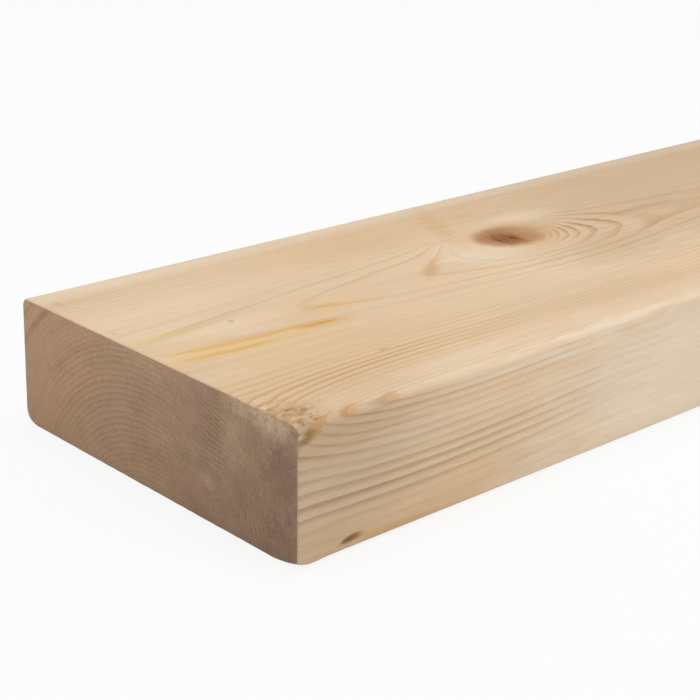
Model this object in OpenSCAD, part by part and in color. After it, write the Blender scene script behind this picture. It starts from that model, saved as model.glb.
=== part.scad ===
// Planed softwood plank: a rectangular section with its four long arrises
// rounded by the planer, cross-cut square at both ends.
// It lies on a broad face, with the length along X and the width along Y.
// The origin is at the middle of the underside.

/* [Stock] */
// Length of the plank, sold in steps of 300 mm
length = 1800; // [1800:300:6000]

/* [Planed section] */
// Width across the two broad faces
width = 145; // [70:1:245]
// Thickness between the two broad faces
thickness = 45; // [22:1:95]
// Radius that the planer rounds onto the four long arrises
arris_radius = 3; // [1:0.5:8]

/* [Hidden] */

// Smoothness of the rounded arrises
$fn = 64;

// Flat left on each face between its two rounded arrises
broad_flat = width - 2 * arris_radius;
narrow_flat = thickness - 2 * arris_radius;

wood_colour = [0.87, 0.77, 0.63];

// The planed section, centred on its own middle, broad side along X
module planed_section() {
    square([broad_flat, thickness], center = true);
    square([width, narrow_flat], center = true);
    for (side = [-1, 1], face = [-1, 1])
        translate([side * broad_flat / 2, face * narrow_flat / 2])
            circle(r = arris_radius);
}

// The section run along the grain and cross-cut at both ends
module plank() {
    color(wood_colour)
        translate([0, 0, thickness / 2])
            rotate([90, 0, 90])
                linear_extrude(height = length, center = true)
                    planed_section();
}

plank();
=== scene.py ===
"""A planed pine plank on a pale studio floor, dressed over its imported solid.

The wood is one solid figure: growth rings round a pith that lies under the plank, lifted where
branches run through them. The faces and the sawn ends cut through the same figure, so every
ring runs on from one face to the next. Places in the wood are in millimetres, counted along
the grain from the near end, across from the front edge, and up from the underside.
"""

import logging
import math
from dataclasses import dataclass, replace
from enum import Enum

import bpy
import numpy as np
from mathutils import Color, Matrix, Vector


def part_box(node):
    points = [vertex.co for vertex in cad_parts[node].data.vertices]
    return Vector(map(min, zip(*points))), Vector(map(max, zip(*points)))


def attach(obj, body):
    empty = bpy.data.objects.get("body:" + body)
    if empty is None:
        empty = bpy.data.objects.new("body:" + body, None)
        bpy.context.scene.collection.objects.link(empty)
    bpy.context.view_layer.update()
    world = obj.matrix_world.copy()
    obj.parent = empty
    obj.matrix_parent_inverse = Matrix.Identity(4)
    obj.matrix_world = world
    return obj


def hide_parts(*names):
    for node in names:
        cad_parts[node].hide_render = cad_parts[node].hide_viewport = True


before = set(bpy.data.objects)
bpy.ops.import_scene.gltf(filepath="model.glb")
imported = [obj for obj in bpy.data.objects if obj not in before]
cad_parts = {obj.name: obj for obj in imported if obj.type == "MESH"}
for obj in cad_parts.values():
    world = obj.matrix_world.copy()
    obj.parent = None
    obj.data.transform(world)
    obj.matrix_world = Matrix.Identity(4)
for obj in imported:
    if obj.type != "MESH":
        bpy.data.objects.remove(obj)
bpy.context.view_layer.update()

MM = 0.001
TINY = 1e-4
HALF = 0.5
SCREEN_WHITE = 255
MAP_NAME = "OFBake"
LOG = logging.getLogger("plank")

# A year darkens fully at the first share of it, and its late wood ends from the second on
LATE_FULL = 0.9
LATE_END = 0.94

# How far a seed moves a pattern along, across and up
SHIFT = (1.0, 1.7, 2.3)

Colour = tuple[float, float, float]
Point = tuple[float, float, float]


def linear(red: int, green: int, blue: int) -> Colour:
    """Turns a colour as it looks on a screen into the shader's linear numbers.

    Args:
        red: Red, from 0 to 255.
        green: Green, from 0 to 255.
        blue: Blue, from 0 to 255.

    Returns:
        The three linear parts, from 0 to 1.
    """
    seen = Color(part / SCREEN_WHITE for part in (red, green, blue))
    return tuple(seen.from_srgb_to_scene_linear())


class Signal:
    """One number in a node tree, written in formulas as a plain number would be."""

    def __init__(self, tree: bpy.types.NodeTree, socket: bpy.types.NodeSocket) -> None:
        """Keeps the tree and the output socket that carries the number."""
        self.tree = tree
        self.socket = socket

    def __add__(self, other: "Operand") -> "Signal":
        """The sum of two numbers."""
        return maths("ADD", self, other)

    def __sub__(self, other: "Operand") -> "Signal":
        """This number less the other."""
        return maths("SUBTRACT", self, other)

    def __rsub__(self, other: "Operand") -> "Signal":
        """The other number less this one."""
        return maths("SUBTRACT", other, self)

    def __mul__(self, other: "Operand") -> "Signal":
        """The product of two numbers."""
        return maths("MULTIPLY", self, other)

    def __truediv__(self, other: "Operand") -> "Signal":
        """This number over the other."""
        return maths("DIVIDE", self, other)

    def __rtruediv__(self, other: "Operand") -> "Signal":
        """The other number over this one."""
        return maths("DIVIDE", other, self)

    def __neg__(self) -> "Signal":
        """The number with its sign turned."""
        return maths("MULTIPLY", self, -1.0)

    __radd__ = __add__
    __rmul__ = __mul__


Operand = Signal | float


def tree_of(*values: object) -> bpy.types.NodeTree:
    """The node tree of the first signal among the values."""
    return next(value.tree for value in values if isinstance(value, Signal))


def add_node(tree: bpy.types.NodeTree, kind: str, feeds: dict, **settings: object) -> bpy.types.Node:
    """Adds one node, sets it up and feeds its inputs.

    Args:
        tree: The tree that gets the node.
        kind: Blender's name for the kind of node.
        feeds: What goes into each input, by the input's name or number.
        settings: The node's own properties.

    Returns:
        The new node.
    """
    node = tree.nodes.new(kind)
    for name, value in settings.items():
        setattr(node, name, value)
    for key, value in feeds.items():
        if isinstance(value, Signal):
            tree.links.new(value.socket, node.inputs[key])
        elif isinstance(value, bpy.types.NodeSocket):
            tree.links.new(value, node.inputs[key])
        else:
            node.inputs[key].default_value = value
    return node


def maths(operation: str, *operands: Operand) -> Signal:
    """Adds a Math node.

    Args:
        operation: Blender's name for the operation.
        operands: The numbers that it works on, at least one of them a signal.

    Returns:
        The result.
    """
    tree = tree_of(*operands)
    node = add_node(tree, "ShaderNodeMath", dict(enumerate(operands)), operation=operation)
    return Signal(tree, node.outputs[0])


def vectors(operation: str, *operands: object) -> Signal:
    """Adds a Vector Math node.

    Args:
        operation: Blender's name for the operation.
        operands: Signals that carry vectors, or triples of numbers.

    Returns:
        The resulting vector, or number for a length.
    """
    tree = tree_of(*operands)
    node = add_node(tree, "ShaderNodeVectorMath", dict(enumerate(operands)), operation=operation)
    return Signal(tree, node.outputs["Value" if operation == "LENGTH" else "Vector"])


def combined(along: Operand, across: Operand, up: Operand) -> Signal:
    """A vector from its three parts."""
    tree = tree_of(along, across, up)
    return Signal(tree, add_node(tree, "ShaderNodeCombineXYZ", {0: along, 1: across, 2: up}).outputs[0])


def rising(value: Signal, low: Operand, high: Operand) -> Signal:
    """Turns a number into a share that rises smoothly, or falls where low is the larger.

    Args:
        value: The number.
        low: Where the share is 0.
        high: Where the share is 1.

    Returns:
        The share, level outside low and high.
    """
    feeds = {"Value": value, "From Min": low, "From Max": high}
    node = add_node(value.tree, "ShaderNodeMapRange", feeds, interpolation_type="SMOOTHSTEP")
    return Signal(value.tree, node.outputs["Result"])


def ramped(value: Signal, low: Operand, high: Operand, rise: Operand) -> Signal:
    """Turns a number into one that rises in a straight line.

    Args:
        value: The number.
        low: Where the result is 0.
        high: Where the result is as large as rise.
        rise: The largest result.

    Returns:
        The result, level outside low and high.
    """
    feeds = {"Value": value, "From Min": low, "From Max": high, "To Max": rise}
    node = add_node(value.tree, "ShaderNodeMapRange", feeds, clamp=True)
    return Signal(value.tree, node.outputs["Result"])


def fading(value: Signal) -> Signal:
    """A bell that is 1 where the value is 0 and fades on both sides."""
    return maths("EXPONENT", -(value * value))


def hypotenuse(first: Operand, second: Operand) -> Signal:
    """The length of the long side over two square sides."""
    return maths("SQRT", first * first + second * second)


def chance(number: Signal, seed: float) -> Signal:
    """Draws a random number that stays the same for one whole number and seed.

    Args:
        number: The whole number.
        seed: Keeps one draw apart from another.

    Returns:
        The random number, from 0 to 1.
    """
    feeds = {"W": number + seed}
    node = add_node(number.tree, "ShaderNodeTexWhiteNoise", feeds, noise_dimensions="1D")
    return Signal(number.tree, node.outputs["Value"])


def centred(tree: bpy.types.NodeTree, noise: bpy.types.Node) -> Signal:
    """Turns the number of a noise node, which lies round a half, into one from about -1 to 1."""
    return (Signal(tree, noise.outputs[0]) - HALF) * 2.0


def swaying(value: Signal, span: float, seed: float) -> Signal:
    """Soft unevenness along one number.

    Args:
        value: The number.
        span: How much of the number one lump takes.
        seed: Moves the lumps.

    Returns:
        A number from about -1 to 1.
    """
    feeds = {"W": value / span + seed, "Scale": 1.0, "Detail": 1.0}
    node = add_node(value.tree, "ShaderNodeTexNoise", feeds, noise_dimensions="1D")
    return centred(value.tree, node)


def opaque(colour: "Paint") -> object:
    """Gives a tone its fourth part, and leaves the socket of a colour as it is."""
    return (*colour.value, 1.0) if isinstance(colour, Tone) else colour


def mixed(share: Signal, first: "Paint", second: "Paint") -> bpy.types.NodeSocket:
    """Mixes two colours.

    Args:
        share: How much of the second colour, from 0 to 1.
        first: A tone or the socket of a colour.
        second: A tone or the socket of a colour.

    Returns:
        The socket of the mixed colour.
    """
    feeds = {0: share, 6: opaque(first), 7: opaque(second)}
    return add_node(share.tree, "ShaderNodeMix", feeds, data_type="RGBA").outputs[2]


def lit(colour: bpy.types.NodeSocket, value: Signal) -> bpy.types.NodeSocket:
    """Makes a colour lighter or darker by a factor near 1."""
    feeds = {"Color": colour, "Value": value}
    return add_node(value.tree, "ShaderNodeHueSaturation", feeds).outputs["Color"]


@dataclass(frozen=True)
class Ramp:
    """How a pattern becomes a share: rest up to low, and rest and gain together from high on."""

    low: float
    high: float
    gain: float = 1.0
    rest: float = 0.0

    def of(self, value: Signal) -> Signal:
        """The share for a value."""
        return rising(value, self.low, self.high) * self.gain + self.rest


class Lumps(Enum):
    """Soft random patterns: a lump's size along, across and up, the finer layers, and a seed."""

    STEM_SWAY = ((520.0, 400.0, 400.0), 1.0, 4.0)
    STEM_HEAVE = ((640.0, 500.0, 500.0), 1.0, 9.0)
    RING_WAVES = ((110.0, 22.0, 22.0), 2.0, 2.0)
    RING_STRAY = ((60.0, 5.0, 5.0), 2.0, 31.0)
    RING_PATCHES = ((90.0, 12.0, 12.0), 1.0, 19.0)
    STAIN_EDGE = ((16.0, 1.8, 1.8), 3.0, 6.0)
    DRIFT = ((240.0, 46.0, 46.0), 1.0, 3.0)
    MOTTLE = ((70.0, 13.0, 13.0), 2.0, 17.0)
    VEIL = ((70.0, 22.0, 22.0), 3.0, 29.0)
    STREAK = ((130.0, 2.4, 2.4), 2.0, 15.0)
    STRAND = ((26.0, 1.2, 1.2), 2.0, 21.0)
    FIBRE = ((46.0, 0.7, 0.7), 2.0, 1.0)
    FLECK = ((9.0, 0.4, 0.4), 1.0, 8.0)
    CRUMB = ((1.7, 1.2, 1.2), 3.0, 27.0)
    KNOT_LUMP = ((3.4, 6.0, 6.0), 3.0, 13.0)
    KNOT_CRACK = ((1.7, 5.0, 5.0), 3.0, 18.0)
    END_BLOTCH = ((60.0, 18.0, 12.0), 2.0, 7.0)
    END_HAZE = ((60.0, 9.0, 14.0), 3.0, 16.0)
    END_GRIT = ((2.0, 0.9, 0.9), 2.0, 2.0)
    END_SCRATCH = ((30.0, 0.9, 5.0), 3.0, 12.0)
    END_EDGE = ((9.0, 3.0, 3.0), 3.0, 6.0)
    END_STRAY = ((40.0, 7.0, 7.0), 2.0, 23.0)
    END_BREAKS = ((40.0, 2.6, 2.6), 2.0, 25.0)
    END_CRUMB = ((6.0, 2.2, 2.2), 3.0, 27.0)
    END_SMUDGE = ((20.0, 6.0, 5.0), 3.0, 33.0)
    RIM_BREAKS = ((40.0, 3.0, 3.0), 2.0, 5.0)
    PIT_EDGE = ((2.5, 1.5, 1.2), 1.0, 4.0)
    TEAR_CRUMB = ((3.6, 1.7, 1.7), 3.0, 3.0)
    TEAR_FLAKE = ((6.0, 2.6, 2.6), 1.0, 14.0)


@dataclass(frozen=True)
class Place:
    """A point in the wood, in millimetres from the near end's lower front corner."""

    vector: Signal
    along: Signal
    across: Signal
    up: Signal

    @classmethod
    def of_vector(cls, vector: Signal) -> "Place":
        """Splits a vector into the three ways through the wood."""
        parts = add_node(vector.tree, "ShaderNodeSeparateXYZ", {0: vector}).outputs
        return cls(vector, *(Signal(vector.tree, part) for part in parts))

    def noise(self, lumps: Lumps) -> Signal:
        """Soft random unevenness.

        Args:
            lumps: The pattern.

        Returns:
            A number from about -1 to 1.
        """
        tree = self.vector.tree
        spans, detail, seed = lumps.value
        scale = tuple(1 / span for span in spans)
        moved = vectors("MULTIPLY_ADD", self.vector, scale, tuple(seed * way for way in SHIFT))
        feeds = {"Vector": moved, "Scale": 1.0, "Detail": detail, "Roughness": HALF}
        return centred(tree, add_node(tree, "ShaderNodeTexNoise", feeds))

    def away(self, middle: Point, reach: Point) -> Signal:
        """Measures how far the point is from a middle.

        Args:
            middle: The middle.
            reach: How far an oval around it reaches each way.

        Returns:
            The distance, 1 on that oval.
        """
        inverse = tuple(1 / size for size in reach)
        offset = tuple(-part / size for part, size in zip(middle, reach))
        return vectors("LENGTH", vectors("MULTIPLY_ADD", self.vector, inverse, offset))

    def sheared(self, slant: float, climb: float) -> "Place":
        """The same point, moved so that a line of that slant and climb runs straight along.

        Args:
            slant: How far the line runs across for each millimetre along.
            climb: How far it runs up for each millimetre along.

        Returns:
            The moved point.
        """
        if not slant and not climb:
            return self
        across = self.across - self.along * slant
        up = self.up - self.along * climb
        return Place(combined(self.along, across, up), self.along, across, up)


@dataclass(frozen=True)
class Stock:
    """The plank's own sizes in millimetres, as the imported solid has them."""

    length: float
    width: float
    thickness: float
    arris: float

    @classmethod
    def packed(cls) -> "Stock":
        """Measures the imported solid, and the arris by where its top face ends.

        Returns:
            The sizes.
        """
        low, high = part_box("plank")
        corners = [vertex.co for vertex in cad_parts["plank"].data.vertices]
        flat = max(corner.y for corner in corners if corner.z > high.z - TINY)
        length, width, thickness = (high - low) / MM
        return cls(length, width, thickness, (high.y - flat) / MM)

    @property
    def near_corner(self) -> Point:
        """The near end's lower front corner, seen from the frame's origin."""
        return (-self.length / 2, -self.width / 2, 0.0)


@dataclass(frozen=True)
class Swirl:
    """A place where the rings are lifted, as they are around a branch.

    Attributes:
        along: Where its axis meets the height of the top face, along the grain.
        across: The same place, across the plank.
        lean: How far its axis runs on along the grain for each millimetre upwards.
        stretch: How much longer it is along the grain than across.
        swell: How many rings it lifts the grain by at its axis.
        reach: How far from the axis that lift has faded to a third.
        drift: How many rings the grain far around it is lifted by.
        drift_reach: How far from the axis that wide lift has faded to a third.
        narrow: How much sooner the wide lift fades across than along the grain.
        trail: How far behind the axis the middle of the wide lift lies.
    """

    along: Operand
    across: Operand
    lean: float = 0.1
    stretch: float = 1.2
    swell: float = 7.0
    reach: float = 20.0
    drift: float = 0.0
    drift_reach: float = 150.0
    narrow: float = 1.0
    trail: float = 0.0


@dataclass(frozen=True)
class Knot(Swirl):
    """A branch that runs out from the pith and shows where a face cuts it.

    Attributes:
        radius: Its radius at the height of the top face.
    """

    radius: Operand = 10.0


@dataclass(frozen=True)
class Cut:
    """Where a point of the wood lies by the axis of a swirl.

    Attributes:
        beside: Distance across from the axis.
        ahead: Distance along the grain from the axis.
        share: How far out from the pith, 1 at the height of the top face.
        lift: How many rings the grain is lifted by.
    """

    beside: Signal
    ahead: Signal
    share: Signal
    lift: Signal


@dataclass(frozen=True)
class Whorls:
    """The knots of the length past the near stretch, by chance, in steps along the stem.

    Attributes:
        start: Where the first step begins.
        step: How far apart the whorls are.
        branches: A seed for each branch, and how far from the front edge it may first come out.
        scatter: How far apart along the grain the branches of one whorl may be.
        spread: How far across a branch may come out.
        girths: The least and the largest radius of a branch.
        draw: How far apart the seeds of a branch's draws are.
        pattern: What all of them have in common.
    """

    start: float = 600.0
    step: float = 400.0
    branches: tuple[tuple[float, float], ...] = ((3.0, 16.0), (8.0, 82.0))
    scatter: float = 120.0
    spread: float = 44.0
    girths: tuple[float, float] = (4.0, 11.0)
    draw: float = 20.0
    pattern: Knot = Knot(0.0, 0.0, swell=6.0, reach=17.0, drift=1.6, drift_reach=45.0)

    def knot(self, place: Place, seed: float, least: float) -> Knot:
        """Finds one branch of the whorl that is nearest to a point.

        Args:
            place: The point.
            seed: The branch's own seed.
            least: How far from the front edge it may first come out.

        Returns:
            The knot that it makes.
        """
        number = maths("MAXIMUM", maths("FLOOR", (place.along - self.start) / self.step), 0.0)
        middle = (number + HALF) * self.step + self.start
        low, high = self.girths
        return replace(
            self.pattern,
            along=middle + (chance(number, seed) - HALF) * self.scatter,
            across=chance(number, seed + self.draw) * self.spread + least,
            radius=chance(number, seed + 2 * self.draw) * (high - low) + low,
        )


@dataclass(frozen=True)
class DenseYears:
    """A run of years with darker late wood, by ring count."""

    middle: float
    spread: float
    strength: float

    def share(self, rings: Signal) -> Signal:
        """How much darker the late wood is at a ring count."""
        return fading((rings - self.middle) / self.spread) * self.strength


@dataclass(frozen=True)
class Figure:
    """The figure of the wood at one point.

    Attributes:
        place: The point.
        cuts: Each knot, and where the point lies by its axis.
        rings: The ring count.
        vigour: How dark the late wood of that year is.
    """

    place: Place
    cuts: list[tuple[Knot, Cut]]
    rings: Signal
    vigour: Signal

    def late(self, start: Operand, stray: Operand = 0.0) -> Signal:
        """How dark the wood is by its place in the year.

        Args:
            start: The share of the year after which the wood darkens.
            stray: Moves the rings by a share of a year, to make them uneven.

        Returns:
            A number from 0 in the early wood to 1 in the late wood.
        """
        share = maths("FRACT", self.rings + stray)
        return rising(share, start, LATE_FULL) * rising(share, 1.0, LATE_END)


@dataclass(frozen=True)
class GrowthField:
    """The growth rings of the stem, as a count that rises by one at each year.

    Attributes:
        stock: The plank's sizes.
        knots: The branches of the near stretch.
        swirls: Where the grain is lifted with no branch in sight.
        whorls: The branches of the rest.
        years: The runs of darker years.
        pith_across: Where the pith runs, across the plank.
        pith_up: Where the pith runs, up from the underside.
        inner_width: The width of the rings near the pith.
        outer_width: The width of the rings past narrowing.
        narrowing: The distance from the pith where the rings grow narrower.
        phase: Moves all rings outwards by a share of one ring.
        plain_year: How much the late wood of plain years differs in darkness.
        pale_year: How dark it is in the palest of them.
        year_seed: Fixes which years are which.
        wander: Where along the grain the pith starts to wander, and where it does so fully.
        sway: How far it wanders across.
        heave: How far it wanders up and down.
        waves: How far single rings are out of true.
    """

    stock: Stock
    knots: tuple[Knot, ...]
    swirls: tuple[Swirl, ...]
    whorls: Whorls
    years: tuple[DenseYears, ...]
    pith_across: float = 76.0
    pith_up: float = -27.0
    inner_width: float = 2.1
    outer_width: float = 1.65
    narrowing: float = 70.0
    phase: float = 0.62
    plain_year: float = 0.24
    pale_year: float = 0.096
    year_seed: float = 5.0
    wander: tuple[float, float] = (260.0, 700.0)
    sway: float = 16.0
    heave: float = 9.0
    waves: float = 0.6

    def figure(self, place: Place) -> Figure:
        """Works out the figure at a point.

        Args:
            place: The point.

        Returns:
            The figure.
        """
        knots = [*self.knots, *(self.whorls.knot(place, *branch) for branch in self.whorls.branches)]
        cuts = [self.cut(place, knot) for knot in knots]
        rings = self.count(place, cuts + [self.cut(place, swirl) for swirl in self.swirls])
        year = maths("FLOOR", rings)
        vigour = chance(year, self.year_seed) * self.plain_year + self.pale_year
        for run in self.years:
            vigour = vigour + run.share(rings)
        return Figure(place, list(zip(knots, cuts)), rings, vigour)

    def cut(self, place: Place, swirl: Swirl) -> Cut:
        """Finds where a point lies by an axis that runs straight out from the pith.

        Args:
            place: The point.
            swirl: The swirl that has the axis.

        Returns:
            Where it lies.
        """
        rise = self.stock.thickness - self.pith_up
        share = (place.up - self.pith_up) / rise
        offset = swirl.across - self.pith_across
        slope = offset / rise
        square = slope * slope + 1.0
        upright = 1.0 / maths("SQRT", square) if isinstance(square, Signal) else square**-0.5
        beside = (place.across - self.pith_across - share * offset) * upright
        height = place.up - self.stock.thickness
        ahead = (place.along - swirl.along - height * swirl.lean) / swirl.stretch
        lift = fading(hypotenuse(beside, ahead) / swirl.reach) * swirl.swell
        if swirl.drift:
            wide = hypotenuse(beside * swirl.narrow, ahead + swirl.trail / swirl.stretch)
            lift = lift + maths("EXPONENT", wide * (-1.0 / swirl.drift_reach)) * swirl.drift
        return Cut(beside, ahead, share, lift)

    def radius(self, place: Place) -> Signal:
        """The distance from the pith, with the slow wander of a grown stem.

        Args:
            place: The point.

        Returns:
            The distance in millimetres.
        """
        wander = rising(place.along, *self.wander)
        sway = place.noise(Lumps.STEM_SWAY) * wander * self.sway
        heave = place.noise(Lumps.STEM_HEAVE) * wander * self.heave
        across = place.across - self.pith_across - sway
        up = place.up - self.pith_up + heave
        return hypotenuse(across, up) + place.noise(Lumps.RING_WAVES) * self.waves

    def count(self, place: Place, cuts: list[Cut]) -> Signal:
        """The number of the ring at a point.

        Args:
            place: The point in the wood.
            cuts: Where it lies by each knot and swirl.

        Returns:
            The ring count, whole at the end of each year.
        """
        radius = self.radius(place)
        outer = maths("MAXIMUM", radius - self.narrowing, 0.0)
        rings = radius / self.inner_width + outer * (1 / self.outer_width - 1 / self.inner_width)
        for cut in cuts:
            rings = rings - cut.lift
        return rings + self.phase


# The knot on the top face, which the rings bend round
EYE = Knot(
    182.0, 90.0, radius=12.5, stretch=1.38, swell=8.6, reach=16.0, drift=5.4, drift_reach=135.0, trail=7.0
)

# What draws those rings out ahead of it
EYE_NOSE = Swirl(206.0, 80.0, lean=0.0, stretch=1.0, swell=0.6, reach=28.0)

# What ends them in a point
EYE_TIP = Swirl(241.0, 78.0, lean=0.0, stretch=1.0, swell=-0.6, reach=12.0)

# A branch in front of the plank, which bends the rings of the front edge
FRONT_BRANCH = Knot(
    262.0, -95.0, radius=16.0, swell=4.0, reach=18.0, drift=8.0, drift_reach=60.0, narrow=3.5
)

# The branch by the near corner, where the grain has torn
TORN_BRANCH = Swirl(
    -3.0, 5.0, lean=0.0, stretch=1.0, swell=0.8, reach=10.0, drift=6.1, drift_reach=24.0, narrow=1.6
)

# The years that show as the darkest lines
YEARS = (
    DenseYears(31.5, 0.8, 0.25),
    DenseYears(41.7, 1.4, 0.55),
    DenseYears(43.8, 0.8, 0.3),
    DenseYears(50.4, 1.4, 0.3),
)


class Tone(Enum):
    """The colours of the wood and of what stains it, as even light shows them, save the darker front of the
    near end and the pits, which also hold painted shade.
    """

    EARLY = linear(230, 204, 171)
    WARM = linear(218, 185, 145)
    ROSY = linear(232, 197, 170)
    TAN = linear(203, 173, 137)
    LATE = linear(182, 139, 92)
    LATE_DULL = linear(152, 120, 92)
    PALE = linear(237, 219, 194)
    KNOT = linear(166, 112, 60)
    KNOT_HEART = linear(104, 52, 16)
    KNOT_RIM = linear(206, 162, 112)
    KNOT_PALE = linear(186, 142, 90)
    AMBER = linear(217, 161, 66)
    HONEY = linear(230, 190, 116)
    RUST = linear(204, 152, 96)
    OCHRE = linear(206, 166, 108)
    PITCH = linear(158, 110, 34)
    MOSS = linear(140, 118, 66)
    DUST = linear(176, 150, 122)
    SPECK = linear(140, 100, 58)
    # Partly dirt, partly painted shade in the torn pits and the pitch pocket
    PIT_DIRT_AND_SHADE = linear(132, 94, 56)
    END_BACK = linear(196, 159, 127)
    # Painted shade: the darker front of the sawn end
    END_FRONT_SHADE = linear(164, 134, 110)
    END_LATE = linear(132, 102, 80)
    END_PALE = linear(230, 203, 168)
    END_ROSE = linear(168, 134, 118)
    END_MOSS = linear(162, 138, 106)
    END_DARK = linear(132, 102, 86)


Paint = Tone | bpy.types.NodeSocket


@dataclass(frozen=True)
class Patch:
    """A soft oval in the wood.

    Attributes:
        middle: Its middle along, across and up.
        reach: How far it reaches each way.
        strength: How strong it is in the middle.
        slant: How far it runs across for each millimetre along.
        ragged: How uneven its edge is.
        climb: How far it runs up for each millimetre along.
        core: The share of its reach in which it is at its strongest.
    """

    middle: Point
    reach: Point
    strength: float = 1.0
    slant: float = 0.0
    ragged: float = 0.3
    climb: float = 0.0
    core: float = 0.2

    def share(self, place: Place, fray: Signal) -> Signal:
        """How strong the patch is at a point.

        Args:
            place: The point.
            fray: Fine unevenness for its edge.

        Returns:
            The strength there.
        """
        along, across, up = self.middle
        middle = (along, across - along * self.slant, up - along * self.climb)
        away = place.sheared(self.slant, self.climb).away(middle, self.reach) + fray * self.ragged
        return rising(away, 1.0, self.core) * self.strength


@dataclass(frozen=True)
class Stain:
    """A patch of another colour."""

    tone: Tone
    patch: Patch


# Broad tones of the bare wood, laid one over the other, with painted highlight along the front top arris
# and painted light along the lower front arris
GROUND = (
    Stain(Tone.WARM, Patch((30, 22, 46), (90, 22, 5), 0.95)),
    Stain(Tone.WARM, Patch((150, 128, 46), (120, 34, 6), 0.8)),
    Stain(Tone.WARM, Patch((120, 75, 46), (85, 100, 6), 0.35)),
    Stain(Tone.TAN, Patch((330, 108, 46), (190, 108, 8), 0.95, core=0.35)),
    Stain(Tone.PALE, Patch((160, 80, 45), (28, 17, 4), 0.6)),
    Stain(Tone.PALE, Patch((188, 71, 45), (24, 8, 4), 0.25)),
    Stain(Tone.PALE, Patch((60, 2, 45), (50, 5, 4), 0.3)),
    # Painted highlight: a pale, broken band along the front top arris
    Stain(Tone.PALE, Patch((155, 4, 46), (80, 13, 4), 0.3, ragged=1.1)),
    Stain(Tone.PALE, Patch((74, 9, 46), (44, 7, 4), 0.4)),
    Stain(Tone.PALE, Patch((86, 0, 42), (46, 4, 3.4), 0.45)),
    Stain(Tone.DUST, Patch((290, 147, 46), (150, 13, 6), 0.3)),
    Stain(Tone.TAN, Patch((204, 56, 46), (50, 27, 5), 0.8)),
    Stain(Tone.WARM, Patch((62, 36, 46), (66, 22, 5), 0.85)),
    Stain(Tone.PALE, Patch((200, 105, 46), (34, 11, 4), 0.5)),
    Stain(Tone.PALE, Patch((150, 140, 46), (400, 10, 5), 0.4)),
    Stain(Tone.DUST, Patch((170, 136, 46), (260, 14, 5), 0.12)),
    Stain(Tone.DUST, Patch((165, 19, 46), (42, 18, 5), 0.22)),
    Stain(Tone.TAN, Patch((302, 117, 46), (50, 15, 6), 0.45)),
    Stain(Tone.TAN, Patch((125, 122, 46), (50, 22, 6), 0.25)),
    Stain(Tone.PALE, Patch((22, 76, 46), (44, 28, 5), 0.35)),
    Stain(Tone.HONEY, Patch((76, 72, 45), (22, 7, 4), 0.45)),
    Stain(Tone.HONEY, Patch((40, 48, 46), (50, 16, 5), 0.16)),
    Stain(Tone.DUST, Patch((0, 0, 24), (85, 4, 50), 0.42)),
    Stain(Tone.WARM, Patch((140, 23, 46), (110, 9, 5), 0.6)),
    Stain(Tone.TAN, Patch((102, 23, 46), (30, 9, 5), 0.35)),
    Stain(Tone.LATE, Patch((14, 0, 38), (36, 4, 11), 0.25)),
    Stain(Tone.PALE, Patch((200, 0, 12), (135, 5, 50), 0.85, core=0.35)),
    Stain(Tone.PALE, Patch((125, 0, 43), (48, 5, 8), 0.55, ragged=1.1)),
    # Painted light: paler along the lower front arris, where it turns under into shade
    Stain(Tone.PALE, Patch((104, 0, 2), (42, 5, 7), 0.5)),
)

# Resin that has run along the grain by the near end of the top face
RESIN = (
    Stain(Tone.HONEY, Patch((30, 61.5, 45), (46, 8, 3), 0.7, -0.06, 0.6)),
    Stain(Tone.HONEY, Patch((14, 72, 45), (24, 8, 3), 0.35, -0.02, 0.6)),
    Stain(Tone.HONEY, Patch((14, 83.5, 45), (30, 3.6, 3), 0.6, 0.05, 0.8)),
    Stain(Tone.AMBER, Patch((60, 61.4, 45), (17, 4.8, 3), 1, -0.12, 0.5)),
    Stain(Tone.AMBER, Patch((36, 63.8, 45), (27, 2.5, 3), 0.85, -0.066, 0.5)),
    Stain(Tone.AMBER, Patch((24, 59.2, 45), (25, 2.3, 3), 0.85, -0.1, 0.5)),
    Stain(Tone.AMBER, Patch((14, 66.4, 45), (14, 1.4, 3), 0.6, -0.1, 0.4)),
    Stain(Tone.KNOT, Patch((59, 61.4, 45), (13, 1.1, 3), 0.45, -0.12, 0.5)),
)
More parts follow.
